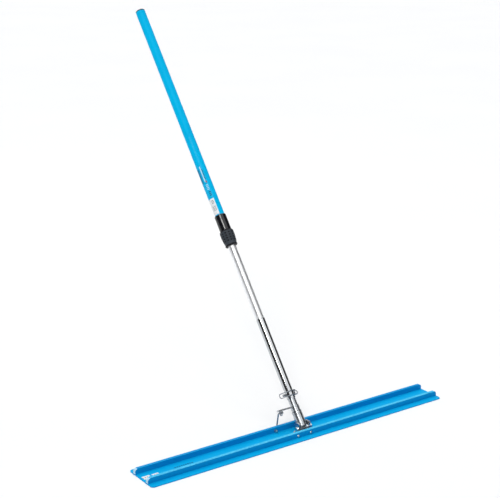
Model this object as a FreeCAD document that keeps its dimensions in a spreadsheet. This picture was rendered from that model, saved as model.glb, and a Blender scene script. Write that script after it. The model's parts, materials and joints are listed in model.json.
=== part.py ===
import FreeCAD, Part
import math
import os
import re

import Sketcher
from FreeCAD import Placement, Rotation, Vector

# Concrete smoothing float on a telescopic pole, with a twist-to-tilt head.
#
# The frame's origin is on the pole's axis at its upper end, +X runs along the blade and +Z is up.
# The pole leans back in the YZ plane.  Heights along the pole are stations: distances from the tilt
# pivot, measured along the pole's axis.  Pieces that belong to the blade are placed from the middle
# of the blade's working face.  Everything is in millimetres and degrees.

DRIVING_SIZES = {
    # pole as a whole
    "lean_angle": 38,
    "pole_tip": 1654,
    # blade
    "blade_length": 1200,
    "blade_width": 142,
    "plate_thickness": 3,
    "plate_corner": 12,
    "rib_gap": 66,
    "rib_thickness": 11.5,
    "rib_top": 21,
    "rib_corner": 11,
    # tilt pivot, from the middle of the working face
    "pivot_along": 22,
    "pivot_forward": 10,
    "pivot_height": 15,
    "pivot_radius": 5,
    "pivot_head_radius": 8.5,
    "pivot_head_height": 4.5,
    "pivot_washer_radius": 9,
    "pivot_nut_flats": 16,
    "pivot_nut_height": 8,
    "running_gap": 0.05,
    # clevis bracket
    "steel_thickness": 4,
    "base_thickness": 3,
    "ear_gap": 37,
    "ear_thickness": 5,
    "ear_top": 36,
    "ear_half_width": 9.5,
    "web_left": 36,
    "web_height": 19,
    "wing_top": 24.5,
    "bracket_bolt_left": 22.5,
    "bracket_bolt_right": 30,
    "bracket_bolt_height": 8.8,
    # small fasteners
    "bolt_radius": 3,
    "bolt_head_radius": 5.2,
    "bolt_head_height": 3.2,
    "bolt_hole_gap": 0.2,
    "nut_flats": 10,
    "nut_height": 5,
    "washer_radius": 5.8,
    "washer_thickness": 1,
    # tilt post and its foot
    "post_radius": 2.5,
    "post_bend": 4.5,
    "post_along": 40,
    "post_behind": 52,
    "foot_thickness": 5,
    "foot_top": 18,
    "foot_margin": 6,
    "post_bolt_along": 60,
    "post_bolt_height": 9.5,
    # knuckle
    "barrel_radius": 7,
    "barrel_length": 34.8,
    "bearing_radius": 17,
    "bearing_wall": 2.6,
    "bearing_bottom": 5,
    "bearing_top": 57,
    "bush_length": 12,
    "bush_flange": 1.4,
    # swivel shaft, collar and crank arm
    "journal_radius": 10,
    "shaft_radius": 13.25,
    "shaft_bore": 8,
    "shaft_bottom": 12.5,
    "shaft_top": 185,
    "collar_radius": 15.3,
    "collar_bottom": 58.6,
    "collar_top": 80,
    "arm_bottom": 73.5,
    "arm_thickness": 5,
    "arm_width": 10,
    "arm_reach": 73,
    "hook_reach": 71,
    "hook_station": 68.5,
    "lug_reach": 62,
    "lug_thickness": 3,
    "lug_width": 14,
    "lug_bottom": 58,
    "slot_width": 7.2,
    "clip_rim": 2.2,
    "clip_thickness": 1.5,
    # lower tube and its lock pin
    "chrome_radius": 15.2,
    "chrome_bore": 13.35,
    "chrome_bottom": 104.5,
    "chrome_top": 400,
    "lock_pin_station": 121.5,
    "lock_pin_radius": 4,
    "lock_pin_tip": 29,
    "lock_pin_head": 20.5,
    "bail_wire_radius": 1.5,
    "bail_hinge_along": 18,
    "bail_half_width": 7.5,
    "bail_end": 42,
    "pull_ring_radius": 6.2,
    # telescopic tubes
    "inner_radius": 14.05,
    "inner_bore": 12.5,
    "neck_length": 70,
    "inner_length": 940,
    "guide_length": 40,
    "rivet_radius": 1.6,
    "rivet_top": 385,
    "rivet_spacing": 30,
    "outer_radius": 17.75,
    "outer_bore": 16,
    "outer_bottom": 762,
    # twist lock
    "sleeve_radius": 20.9,
    "sleeve_top": 800.5,
    "neck_radius": 18.6,
    "neck_bottom": 703,
    "nut_top": 740,
    "nut_bottom": 681,
    "nut_radius": 25,
    "grip_depth": 0.9,
    "grip_width": 1.8,
    "grip_grooves": 20,
    "collet_radius": 17,
    "collet_bottom": 690,
    # top cap and labels
    "cap_radius": 17.5,
    "cap_rim": 5,
    "cap_plug": 22,
    "label_thickness": 0.25,
    "label_bottom": 804,
    "label_top": 1002,
    "label_wrap": 124,
    "sticker_length": 28,
    "sticker_width": 20,
    "sticker_gap": 7,
}

doc = FreeCAD.newDocument("ConcreteFloat")
sheet = doc.addObject("Spreadsheet::Sheet", "Sizes")
nodes = []


def fill_sheet():
    """Writes every driving size in the sheet, with its name beside it."""
    for row, (alias, size) in enumerate(DRIVING_SIZES.items(), start=1):
        sheet.set("A%d" % row, alias)
        sheet.set("B%d" % row, str(size))
        sheet.setAlias("B%d" % row, alias)
    doc.recompute()


def formula(text):
    """Turns a formula in size names into an expression that reads the sheet."""
    return re.sub(r"\b([a-z]+_[a-z_]+)\b", r"Sizes.\1", str(text))


def size(text):
    """Gives a formula's present value as a plain number."""
    return float(sheet.evalExpression(formula(text)))


def bind(item, **formulas):
    """Binds each named property of a document object to a formula."""
    for name, text in formulas.items():
        item.setExpression(name, formula(text))


SIN_LEAN = "sin(lean_angle * 1 deg)"
COS_LEAN = "cos(lean_angle * 1 deg)"
LEAN = Rotation(Vector(-1, 0, 0), DRIVING_SIZES["lean_angle"])


def place_on_pole(item, station):
    """Puts an object on the pole's axis at a station, its +Z along the pole."""
    item.Placement = Placement(Vector(), LEAN)
    bind_path(item, "Placement.Rotation.Angle", "lean_angle * 1 deg")
    bind_path(item, "Placement.Base.y", "(%s - pole_tip) * %s" % (station, SIN_LEAN))
    bind_path(item, "Placement.Base.z", "(%s - pole_tip) * %s" % (station, COS_LEAN))


def place_on_blade(item, along="0", across="0", height="0", rotation=Rotation()):
    """Puts an object at a point measured from the middle of the blade's working face."""
    item.Placement = Placement(Vector(), rotation)
    bind_path(item, "Placement.Base.x", "(%s) - pivot_along" % along)
    bind_path(item, "Placement.Base.y", "(%s) + pivot_forward - pole_tip * %s" % (across, SIN_LEAN))
    bind_path(item, "Placement.Base.z", "(%s) - pivot_height - pole_tip * %s" % (height, COS_LEAN))


def bind_path(item, path, text):
    """Binds one property path, such as Placement.Base.x, to a formula."""
    item.setExpression(path, formula(text))


def finish(item, node):
    """Names a finished sub-part and lists it for writing."""
    item.Label = node
    nodes.append(item)
    return item


# ---------------------------------------------------------------- sketches and bodies

def new_body(name):
    return doc.addObject("PartDesign::Body", name + "_body")


def plane_of(body, role):
    """Finds one of a body's own origin planes or axes by its role."""
    return next(item for item in body.Origin.OriginFeatures if item.Role == role)


def new_sketch(body, name, role, offset="0"):
    """Makes a sketch on one of the body's origin planes, moved along its normal by offset."""
    sketch = body.newObject("Sketcher::SketchObject", name)
    sketch.AttachmentSupport = [(plane_of(body, role), "")]
    sketch.MapMode = "FlatFace"
    bind_path(sketch, "AttachmentOffset.Base.z", offset)
    return sketch


def pin_coordinate(sketch, kind, geometry, end, text):
    """Fixes one coordinate of a sketch point to a formula."""
    value = size(text)
    across_axis = -2 if kind == "DistanceX" else -1
    if abs(value) < 1e-9:
        sketch.addConstraint(Sketcher.Constraint("PointOnObject", geometry, end, across_axis))
    elif value > 0:
        index = sketch.addConstraint(Sketcher.Constraint(kind, -1, 1, geometry, end, value))
        sketch.setExpression("Constraints[%d]" % index, formula(text))
    else:
        index = sketch.addConstraint(Sketcher.Constraint(kind, geometry, end, -1, 1, -value))
        sketch.setExpression("Constraints[%d]" % index, formula("-(%s)" % text))


def draw_outline(sketch, corners):
    """Draws a closed outline of straight lines through corners given as formulas."""
    points = [Vector(size(across), size(up), 0) for across, up in corners]
    count = len(points)
    first = sketch.GeometryCount
    for number in range(count):
        sketch.addGeometry(Part.LineSegment(points[number], points[(number + 1) % count]), False)
    for number in range(count):
        follower = (number + 1) % count
        sketch.addConstraint(Sketcher.Constraint("Coincident", first + number, 2, first + follower, 1))
    for number, (across, up) in enumerate(corners):
        pin_coordinate(sketch, "DistanceX", first + number, 1, across)
        pin_coordinate(sketch, "DistanceY", first + number, 1, up)


def draw_circle(sketch, across, up, radius):
    """Draws a circle with its centre and radius given as formulas."""
    centre = Vector(size(across), size(up), 0)
    circle = sketch.addGeometry(Part.Circle(centre, Vector(0, 0, 1), size(radius)), False)
    pin_coordinate(sketch, "DistanceX", circle, 3, across)
    pin_coordinate(sketch, "DistanceY", circle, 3, up)
    index = sketch.addConstraint(Sketcher.Constraint("Radius", circle, size(radius)))
    sketch.setExpression("Constraints[%d]" % index, formula(radius))


def pad(body, sketch, length, both_ways=False, backwards=False):
    """Pads a sketch by a formula's length."""
    feature = body.newObject("PartDesign::Pad", sketch.Name + "_pad")
    feature.Profile = sketch
    feature.Midplane = both_ways
    feature.Reversed = backwards
    bind(feature, Length=length)
    sketch.Visibility = False
    return feature


def cut(body, sketch, length, both_ways=False, backwards=False):
    """Cuts a sketch into the body by a formula's length, and proves that it removed something."""
    doc.recompute()
    before = body.Shape.Volume
    feature = body.newObject("PartDesign::Pocket", sketch.Name + "_pocket")
    feature.Profile = sketch
    feature.Midplane = both_ways
    feature.Reversed = backwards
    bind(feature, Length=length)
    doc.recompute()
    if body.Shape.Volume > before - 1e-3:
        raise RuntimeError(sketch.Name + " removes nothing")
    return feature


def revolve(body, sketch):
    """Turns a sketch a whole turn about its own vertical axis."""
    feature = body.newObject("PartDesign::Revolution", sketch.Name + "_revolution")
    feature.Profile = sketch
    feature.ReferenceAxis = (sketch, ["V_Axis"])
    feature.Angle = 360
    return feature


def turned(name, corners):
    """A lathe-turned body about its own Z: corners are (radius, height) formulas."""
    body = new_body(name)
    sketch = new_sketch(body, name + "_profile", "XZ_Plane")
    draw_outline(sketch, corners)
    revolve(body, sketch)
    return body


def tube(name, bore, radius, length):
    """A plain turned tube or ring, standing on its own origin."""
    return turned(name, [(bore, "0"), (radius, "0"), (radius, length), (bore, length)])


def fillet_edges(body, radius, wanted):
    """Rounds every edge of the body's present shape that the wanted test accepts."""
    doc.recompute()
    base = body.Tip
    names = ["Edge%d" % (number + 1) for number, edge in enumerate(base.Shape.Edges) if wanted(edge)]
    feature = body.newObject("PartDesign::Fillet", body.Name + "_fillet%d" % len(body.Group))
    feature.Base = (base, names)
    bind(feature, Radius=radius)
    doc.recompute()
    return feature


def hex_nut(name, bore, across_flats, height):
    """A plain hexagon nut standing on its own origin, cut from a prism."""
    prism = doc.addObject("Part::Prism", name + "_prism")
    prism.Polygon = 6
    bind(prism, Circumradius="(%s) / 2 / cos(30 deg)" % across_flats, Height=height)
    hole = doc.addObject("Part::Cylinder", name + "_hole")
    bind(hole, Radius=bore, Height=height)
    nut = doc.addObject("Part::Cut", name)
    nut.Base = prism
    nut.Tool = hole
    return nut


def button_bolt(name, length):
    """A dome-headed bolt: its seat at its own origin, its shank down -Z and its head up +Z."""
    body = turned(name, [
        ("0", "-(%s)" % length),
        ("bolt_radius - 0.6", "-(%s)" % length),
        ("bolt_radius", "0.6 - (%s)" % length),
        ("bolt_radius", "0"),
        ("bolt_head_radius", "0"),
        ("bolt_head_radius * 0.96", "bolt_head_height * 0.34"),
        ("bolt_head_radius * 0.8", "bolt_head_height * 0.68"),
        ("bolt_head_radius * 0.5", "bolt_head_height * 0.92"),
        ("0", "bolt_head_height")])
    return body


def group(node, items):
    """Joins separate equal solids in one sub-part."""
    compound = doc.addObject("Part::Compound", node)
    compound.Links = items
    return finish(compound, node)


def bent_rod_shape(corners, radius, bend):
    """A round rod along straight runs, joined by tangent arcs of one bend radius."""
    edges = []
    start = corners[0]
    for number in range(1, len(corners) - 1):
        corner = corners[number]
        inward = (corners[number - 1] - corner).normalize()
        outward = (corners[number + 1] - corner).normalize()
        half_angle = inward.getAngle(outward) / 2
        setback = bend / math.tan(half_angle)
        bisector = (inward + outward).normalize()
        centre_distance = math.hypot(setback, bend)
        arc_start = corner + inward * setback
        arc_end = corner + outward * setback
        arc_middle = corner + bisector * (centre_distance - bend)
        edges.append(Part.makeLine(start, arc_start))
        edges.append(Part.Arc(arc_start, arc_middle, arc_end).toShape())
        start = arc_end
    edges.append(Part.makeLine(start, corners[-1]))
    path = Part.Wire(edges)
    section = Part.Wire(Part.makeCircle(radius, corners[0], corners[1] - corners[0]))
    return path.makePipeShell([section], True, False)


# ---------------------------------------------------------------- blade

def make_float_blade():
    """The blade: a flat plate with two upright ribs, drilled for the head."""
    body = new_body("float_blade")
    plate = new_sketch(body, "plate_outline", "XY_Plane")
    draw_outline(plate, [
        ("-blade_length / 2", "-blade_width / 2"),
        ("blade_length / 2", "-blade_width / 2"),
        ("blade_length / 2", "blade_width / 2"),
        ("-blade_length / 2", "blade_width / 2")])
    pad(body, plate, "plate_thickness")
    fillet_edges(body, "plate_corner", lambda edge: edge.BoundBox.ZLength > 1)
    for side, place in (("near", "rib_gap / 2 + rib_thickness"), ("far", "-rib_gap / 2")):
        rib = new_sketch(body, side + "_rib_outline", "XZ_Plane", place)
        draw_outline(rib, [
            ("-blade_length / 2", "plate_thickness"),
            ("blade_length / 2", "plate_thickness"),
            ("blade_length / 2", "rib_top"),
            ("-blade_length / 2", "rib_top")])
        pad(body, rib, "rib_thickness", backwards=True)
    top = size("rib_top")
    ends = size("blade_length") / 2
    fillet_edges(body, "rib_corner", lambda edge: (
        edge.BoundBox.YLength > 1 and edge.BoundBox.ZMin > top - 0.1
        and abs(edge.BoundBox.Center.x) > ends - 0.1))
    fillet_edges(body, "0.8", lambda edge: (
        edge.BoundBox.XLength > 1000 and edge.BoundBox.ZMin > top - 0.1))
    holes = new_sketch(body, "near_rib_holes", "XZ_Plane")
    hole_radius = "bolt_radius + bolt_hole_gap"
    draw_circle(holes, "-bracket_bolt_left", "bracket_bolt_height", hole_radius)
    draw_circle(holes, "bracket_bolt_right", "bracket_bolt_height", hole_radius)
    cut(body, holes, "blade_width", backwards=True)
    hole = new_sketch(body, "far_rib_hole", "XZ_Plane")
    draw_circle(hole, "-post_bolt_along", "post_bolt_height", hole_radius)
    cut(body, hole, "blade_width")
    place_on_blade(body)
    finish(body, "float_blade")


# ---------------------------------------------------------------- clevis bracket and pivot

def make_clevis_bracket():
    """A welded clevis: a web bolted to the near rib, a base and two ears for the pivot bolt."""
    body = new_body("clevis_bracket")
    web = new_sketch(body, "web_outline", "XZ_Plane", "rib_gap / 2")
    ear_outside = "pivot_along + ear_gap / 2 + ear_thickness"
    draw_outline(web, [
        ("-web_left - 2", "plate_thickness"),
        (ear_outside, "plate_thickness"),
        (ear_outside, "web_height"),
        ("-web_left + 17", "web_height"),
        ("-web_left + 9", "wing_top"),
        ("-web_left + 1", "web_height - 2"),
        ("-web_left - 2", "web_height - 9")])
    pad(body, web, "steel_thickness", backwards=True)
    base = new_sketch(body, "base_outline", "XY_Plane", "plate_thickness")
    ear_inside = "pivot_along - ear_gap / 2 - ear_thickness"
    base_back = "-pivot_forward + 8"
    base_front = "-rib_gap / 2 + 12.5"
    draw_outline(base, [
        (ear_inside, base_front),
        (ear_outside, base_front),
        (ear_outside, base_back),
        (ear_inside, base_back)])
    pad(body, base, "base_thickness")
    for side, place in (("left", "pivot_along - ear_gap / 2 - ear_thickness"),
                        ("right", "pivot_along + ear_gap / 2")):
        make_ear(body, side, place)
    holes = new_sketch(body, "web_holes", "XZ_Plane", "rib_gap / 2")
    draw_circle(holes, "-bracket_bolt_left", "bracket_bolt_height", "bolt_radius + bolt_hole_gap")
    draw_circle(holes, "bracket_bolt_right", "bracket_bolt_height", "bolt_radius + bolt_hole_gap")
    cut(body, holes, "steel_thickness")
    place_on_blade(body)
    finish(body, "clevis_bracket")


def make_ear(body, side, place):
    """One ear of the clevis: a plate with a flared top, drilled for the pivot bolt."""
    ear = new_sketch(body, side + "_ear_outline", "YZ_Plane", place)
    draw_outline(ear, [
        ("-rib_gap / 2 + 1", "plate_thickness"),
        ("-pivot_forward + ear_half_width + 1", "plate_thickness"),
        ("-pivot_forward + ear_half_width", "pivot_height + 6"),
        ("-pivot_forward + ear_half_width + 5", "ear_top - 5"),
        ("-pivot_forward + ear_half_width + 2", "ear_top"),
        ("-pivot_forward - ear_half_width", "ear_top"),
        ("-pivot_forward - ear_half_width - 2.5", "ear_top - 3"),
        ("-pivot_forward - ear_half_width", "pivot_height + 7"),
        ("-pivot_forward - ear_half_width - 2.5", "pivot_height - 4"),
        ("-rib_gap / 2 + 1", "pivot_height - 7")])
    draw_circle(ear, "-pivot_forward", "pivot_height", "pivot_radius + running_gap")
    pad(body, ear, "ear_thickness")


def make_pivot_bolt():
    """The tilt pivot: a round-headed bolt through both ears, its head on the left."""
    length = "ear_gap + 2 * ear_thickness + 2 * washer_thickness + pivot_nut_height + 3"
    body = turned("pivot_bolt", [
        ("0", "-pivot_head_height"),
        ("pivot_head_radius - 1.5", "-pivot_head_height"),
        ("pivot_head_radius", "-pivot_head_height / 2"),
        ("pivot_head_radius", "0"),
        ("pivot_radius", "0"),
        ("pivot_radius", "(%s) - 0.8" % length),
        ("pivot_radius - 0.8", length),
        ("0", length)])
    place_on_blade(body, "pivot_along - ear_gap / 2 - ear_thickness", "-pivot_forward", "pivot_height",
                   Rotation(Vector(0, 1, 0), 90))
    finish(body, "pivot_bolt")


def make_pivot_nut():
    """The nut that closes the pivot bolt outside the right ear."""
    nut = hex_nut("pivot_nut", "pivot_radius", "pivot_nut_flats", "pivot_nut_height")
    place_on_blade(nut, "pivot_along + ear_gap / 2 + ear_thickness + washer_thickness * 2",
                   "-pivot_forward", "pivot_height", Rotation(Vector(0, 1, 0), 90))
    finish(nut, "pivot_nut")


def make_pivot_washers():
    """Three washers on the pivot bolt: one each side of the knuckle and one under the nut."""
    thin = "(ear_gap - barrel_length) / 2 - 0.1"
    rings = (("left", "pivot_along - ear_gap / 2", thin),
             ("right", "pivot_along + ear_gap / 2 - (%s)" % thin, thin),
             ("outer", "pivot_along + ear_gap / 2 + ear_thickness", "washer_thickness * 2"))
    washers = []
    for side, along, thickness in rings:
        washer = tube(side + "_pivot_washer", "pivot_radius + running_gap", "pivot_washer_radius",
                      thickness)
        place_on_blade(washer, along, "-pivot_forward", "pivot_height", Rotation(Vector(0, 1, 0), 90))
        washers.append(washer)
    group("pivot_washers", washers)


TOWARDS_NEAR = Rotation(Vector(1, 0, 0), 90)
TOWARDS_FAR = Rotation(Vector(1, 0, 0), -90)


def make_bracket_fasteners():
    """Two bolts through the near rib and the bracket's web, each with a washer and a nut."""
    rib_face = "-rib_gap / 2 - rib_thickness"
    web_face = "-rib_gap / 2 + steel_thickness"
    stack = "rib_thickness + steel_thickness + washer_thickness + nut_height + 2"
    bolts = []
    washers = []
    nuts = []
    for side, along in (("left", "-bracket_bolt_left"), ("right", "bracket_bolt_right")):
        bolt = button_bolt(side + "_bracket_bolt", stack)
        place_on_blade(bolt, along, rib_face, "bracket_bolt_height", TOWARDS_NEAR)
        bolts.append(bolt)
        washer = tube(side + "_bracket_washer", "bolt_radius", "washer_radius", "washer_thickness")
        place_on_blade(washer, along, web_face, "bracket_bolt_height", TOWARDS_FAR)
        washers.append(washer)
        nut = hex_nut(side + "_bracket_nut", "bolt_radius", "nut_flats", "nut_height")
        place_on_blade(nut, along, web_face + " + washer_thickness", "bracket_bolt_height", TOWARDS_FAR)
        nuts.append(nut)
    group("bracket_bolts", bolts)
    group("bracket_washers", washers)
    group("bracket_nuts", nuts)


# ---------------------------------------------------------------- tilt post

HOOK_ACROSS = "hook_station * %s - pivot_forward" % SIN_LEAN
HOOK_HEIGHT = "hook_station * %s + pivot_height" % COS_LEAN


def make_tilt_post():
    """The bent rod that holds the crank's end: up from its foot, then a hook along +X."""
    foot_along = size("-post_along")
    behind = size("post_behind")
    hook_along = size("pivot_along - hook_reach")
    hook_across = size(HOOK_ACROSS)
    hook_height = size(HOOK_HEIGHT)
    hook_end = size("pivot_along - lug_reach + 9.5")
    corners = [
        Vector(foot_along, behind, size("plate_thickness + 1.5")),
        Vector(foot_along, behind, size("foot_top + 1.5")),
        Vector(hook_along, hook_across, hook_height),
        Vector(hook_end, hook_across, hook_height)]
    post = doc.addObject("Part::Feature", "tilt_post")
    post.Shape = bent_rod_shape(corners, size("post_radius"), size("post_bend"))
    place_on_blade(post)
    finish(post, "tilt_post")


def make_post_foot():
    """The flat foot behind the far rib that the post is welded to."""
    plate = doc.addObject("Part::Box", "post_foot_plate")
    bind(plate, Length="post_bolt_along - post_along + 2 * foot_margin", Width="foot_thickness",
         Height="foot_top - plate_thickness - 0.3")
    place_on_blade(plate, "-post_bolt_along - foot_margin", "rib_gap / 2 + rib_thickness",
                   "plate_thickness + 0.3")
    hole = doc.addObject("Part::Cylinder", "post_foot_hole")
    bind(hole, Radius="bolt_radius + bolt_hole_gap", Height="foot_thickness")
    place_on_blade(hole, "-post_bolt_along", "rib_gap / 2 + rib_thickness", "post_bolt_height",
                   TOWARDS_FAR)
    rod = doc.addObject("Part::Cylinder", "post_foot_groove")
    bind(rod, Radius="post_radius", Height="foot_top")
    place_on_blade(rod, "-post_along", "post_behind", "plate_thickness")
    drilled = doc.addObject("Part::Cut", "post_foot_drilled")
    drilled.Base = plate
    drilled.Tool = hole
    foot = doc.addObject("Part::Cut", "post_foot")
    foot.Base = drilled
    foot.Tool = rod
    finish(foot, "post_foot")


def make_post_fasteners():
    """The bolt that holds the foot, with its washer and nut in the trough."""
    stack = "foot_thickness + rib_thickness + washer_thickness + nut_height + 2.5"
    bolt = button_bolt("post_bolt", stack)
    place_on_blade(bolt, "-post_bolt_along", "rib_gap / 2 + rib_thickness + foot_thickness",
                   "post_bolt_height", TOWARDS_FAR)
    finish(bolt, "post_bolt")
    washer = tube("post_washer", "bolt_radius", "washer_radius", "washer_thickness")
    place_on_blade(washer, "-post_bolt_along", "rib_gap / 2", "post_bolt_height", TOWARDS_NEAR)
    finish(washer, "post_washer")
    nut = hex_nut("post_nut", "bolt_radius", "nut_flats", "nut_height")
    place_on_blade(nut, "-post_bolt_along", "rib_gap / 2 - washer_thickness", "post_bolt_height",
                   TOWARDS_NEAR)
    finish(nut, "post_nut")


def make_hook_clip():
    """The push-on clip at the hook's free end."""
    clip = tube("hook_clip", "post_radius", "post_radius + clip_rim", "clip_thickness")
    place_on_blade(clip, "pivot_along - lug_reach + 6.5", HOOK_ACROSS, HOOK_HEIGHT,
                   Rotation(Vector(0, 1, 0), 90))
    finish(clip, "hook_clip")


def make_blade_stickers():
    """Two plain stickers on the trough's floor near the left end, the second one smaller."""
    stickers = []
    for number, share in ((0, 1), (1, 0.85)):
        sticker = doc.addObject("Part::Box", "blade_sticker_%d" % number)
        bind(sticker, Length="sticker_length * %s" % share, Width="sticker_width * %s" % share,
             Height="label_thickness")
        along = "sticker_gap - blade_length / 2 + %d * (sticker_length + sticker_gap)" % number
        place_on_blade(sticker, along, "-sticker_width * %s / 2 - 3" % share, "plate_thickness")
        stickers.append(sticker)
    group("blade_stickers", stickers)


# ---------------------------------------------------------------- knuckle

def make_pivot_barrel():
    """The cross barrel that turns on the pivot bolt."""
    barrel = tube("pivot_barrel", "pivot_radius + running_gap", "barrel_radius", "barrel_length")
    place_on_blade(barrel, "pivot_along - barrel_length / 2", "-pivot_forward", "pivot_height",
                   Rotation(Vector(0, 1, 0), 90))
    finish(barrel, "pivot_barrel")


def make_bearing_tube():
    """The short tube that carries the swivel shaft, its foot cut to sit on the cross barrel."""
    length = "bearing_top - bearing_bottom"
    plain = tube("bearing_blank", "bearing_radius - bearing_wall", "bearing_radius", length)
    place_on_pole(plain, "bearing_bottom")
    saddle = doc.addObject("Part::Cylinder", "bearing_saddle")
    bind(saddle, Radius="barrel_radius", Height="barrel_length")
    place_on_blade(saddle, "pivot_along - barrel_length / 2", "-pivot_forward", "pivot_height",
                   Rotation(Vector(0, 1, 0), 90))
    bearing = doc.addObject("Part::Cut", "bearing_tube")
    bearing.Base = plain
    bearing.Tool = saddle
    finish(bearing, "bearing_tube")


def make_bushes():
    """Two plastic bushes in the bearing tube; the upper one has a flange over the tube's end."""
    bore = "journal_radius + running_gap"
    seat = "bearing_radius - bearing_wall"
    lower = tube("lower_bush", bore, seat, "bush_length")
    place_on_pole(lower, "bearing_bottom + 15")
    finish(lower, "lower_bush")
    upper = turned("upper_bush", [
        (bore, "0"),
        (seat, "0"),
        (seat, "bush_length"),
        ("bearing_radius", "bush_length"),
        ("bearing_radius", "bush_length + bush_flange"),
        (bore, "bush_length + bush_flange")])
    place_on_pole(upper, "bearing_top - bush_length")
    finish(upper, "upper_bush")


# ---------------------------------------------------------------- swivel shaft and crank

def make_swivel_shaft():
    """The shaft: a journal in the bushes below and a hollow spigot in the chrome tube above."""
    shoulder = "collar_bottom - shaft_bottom"
    groove = "4"
    top = "shaft_top - shaft_bottom"
    body = turned("swivel_shaft", [
        ("0", "0"),
        ("journal_radius - 1", "0"),
        ("journal_radius", "1"),
        ("journal_radius", groove),
        ("journal_radius - 1", groove),
        ("journal_radius - 1", groove + " + 1.3"),
        ("journal_radius", groove + " + 1.3"),
        ("journal_radius", shoulder),
        ("shaft_radius", shoulder),
        ("shaft_radius", "(%s) - 2" % top),
        ("shaft_radius - 2", top),
        ("shaft_bore", top),
        ("shaft_bore", "(%s) + 8" % shoulder),
        ("0", "(%s) + 8" % shoulder)])
    place_on_pole(body, "shaft_bottom")
    drilled = drill_for_lock_pin(body, "swivel_shaft")
    finish(drilled, "swivel_shaft")


def drill_for_lock_pin(item, name):
    """Cuts the lock pin's cross hole through a piece on the pole."""
    drill = doc.addObject("Part::Cylinder", name + "_drill")
    bind(drill, Radius="lock_pin_radius + running_gap", Height="60")
    place_across_pole(drill, "-30", "lock_pin_station")
    drilled = doc.addObject("Part::Cut", name + "_drilled")
    drilled.Base = item
    drilled.Tool = drill
    return drilled


def place_across_pole(item, along, station):
    """Puts an object across the pole at a station, its own +Z along the blade."""
    place_on_pole(item, station)
    item.Placement.Rotation = Rotation(Vector(0, 1, 0), 90)
    item.setExpression("Placement.Rotation.Angle", None)
    bind_path(item, "Placement.Base.x", along)


def make_shaft_retainer():
    """The washer and the retaining ring that hold the shaft in the bearing tube."""
    washer = tube("shaft_washer", "journal_radius", "bearing_radius - bearing_wall - 0.4", "1.6")
    place_on_pole(washer, "shaft_bottom + 5.4")
    finish(washer, "shaft_washer")
    ring = tube("retaining_ring", "journal_radius - 1", "journal_radius + 1.6", "1.2")
    place_on_pole(ring, "shaft_bottom + 4.05")
    finish(ring, "retaining_ring")


def make_shaft_collar():
    """The collar that carries the crank arm and runs on the upper bush's flange."""
    collar = turned("shaft_collar", [
        ("shaft_radius", "0"),
        ("collar_radius", "0"),
        ("collar_radius", "collar_top - collar_bottom - 1"),
        ("collar_radius - 1", "collar_top - collar_bottom"),
        ("shaft_radius", "collar_top - collar_bottom")])
    place_on_pole(collar, "collar_bottom")
    finish(collar, "shaft_collar")


def make_crank_arm():
    """The flat crank arm, welded to the collar and rounded at its end."""
    body = new_body("crank_arm")
    sketch = new_sketch(body, "arm_outline", "XY_Plane")
    corner = "arm_width / 2"
    draw_outline(sketch, [
        ("-arm_reach + 3", "-" + corner),
        ("-shaft_radius", "-" + corner),
        ("-shaft_radius", corner),
        ("-arm_reach + 3", corner),
        ("-arm_reach", "arm_width / 4"),
        ("-arm_reach", "-arm_width / 4")])
    pad(body, sketch, "arm_thickness")
    place_on_pole(body, "arm_bottom")
    seat = doc.addObject("Part::Cylinder", "crank_arm_seat")
    bind(seat, Radius="collar_radius", Height="arm_thickness")
    place_on_pole(seat, "arm_bottom")
    arm = doc.addObject("Part::Cut", "crank_arm")
    arm.Base = body
    arm.Tool = seat
    finish(arm, "crank_arm")


def make_arm_lug():
    """The slotted lug under the crank arm: the post's hook runs in its slot."""
    body = new_body("arm_lug")
    sketch = new_sketch(body, "lug_outline", "YZ_Plane", "-lug_reach - lug_thickness / 2")
    draw_outline(sketch, [
        ("-lug_width / 2", "4"),
        ("-lug_width / 2 + 4", "0"),
        ("lug_width / 2 - 4", "0"),
        ("lug_width / 2", "4"),
        ("lug_width / 2", "arm_bottom - lug_bottom"),
        ("-lug_width / 2", "arm_bottom - lug_bottom")])
    slot_top = "hook_station - lug_bottom + post_radius + 0.7"
    slot_bottom = "hook_station - lug_bottom - post_radius - 4.3"
    draw_outline(sketch, [
        ("-slot_width / 2", slot_bottom),
        ("slot_width / 2", slot_bottom),
        ("slot_width / 2", slot_top),
        ("-slot_width / 2", slot_top)])
    pad(body, sketch, "lug_thickness")
    place_on_pole(body, "lug_bottom")
    finish(body, "arm_lug")


# ---------------------------------------------------------------- lower tube and lock pin

def make_chrome_tube():
    """The polished lower tube, pinned on the swivel shaft."""
    blank = turned("chrome_blank", [
        ("chrome_bore", "0"),
        ("chrome_radius - 0.4", "0"),
        ("chrome_radius", "0.4"),
        ("chrome_radius", "chrome_top - chrome_bottom - 0.6"),
        ("chrome_radius - 0.6", "chrome_top - chrome_bottom"),
        ("chrome_bore", "chrome_top - chrome_bottom")])
    place_on_pole(blank, "chrome_bottom")
    pinned = drill_for_lock_pin(blank, "chrome_tube")
    finish(drill_for_rivets(pinned, "chrome_tube"), "chrome_tube")


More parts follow.
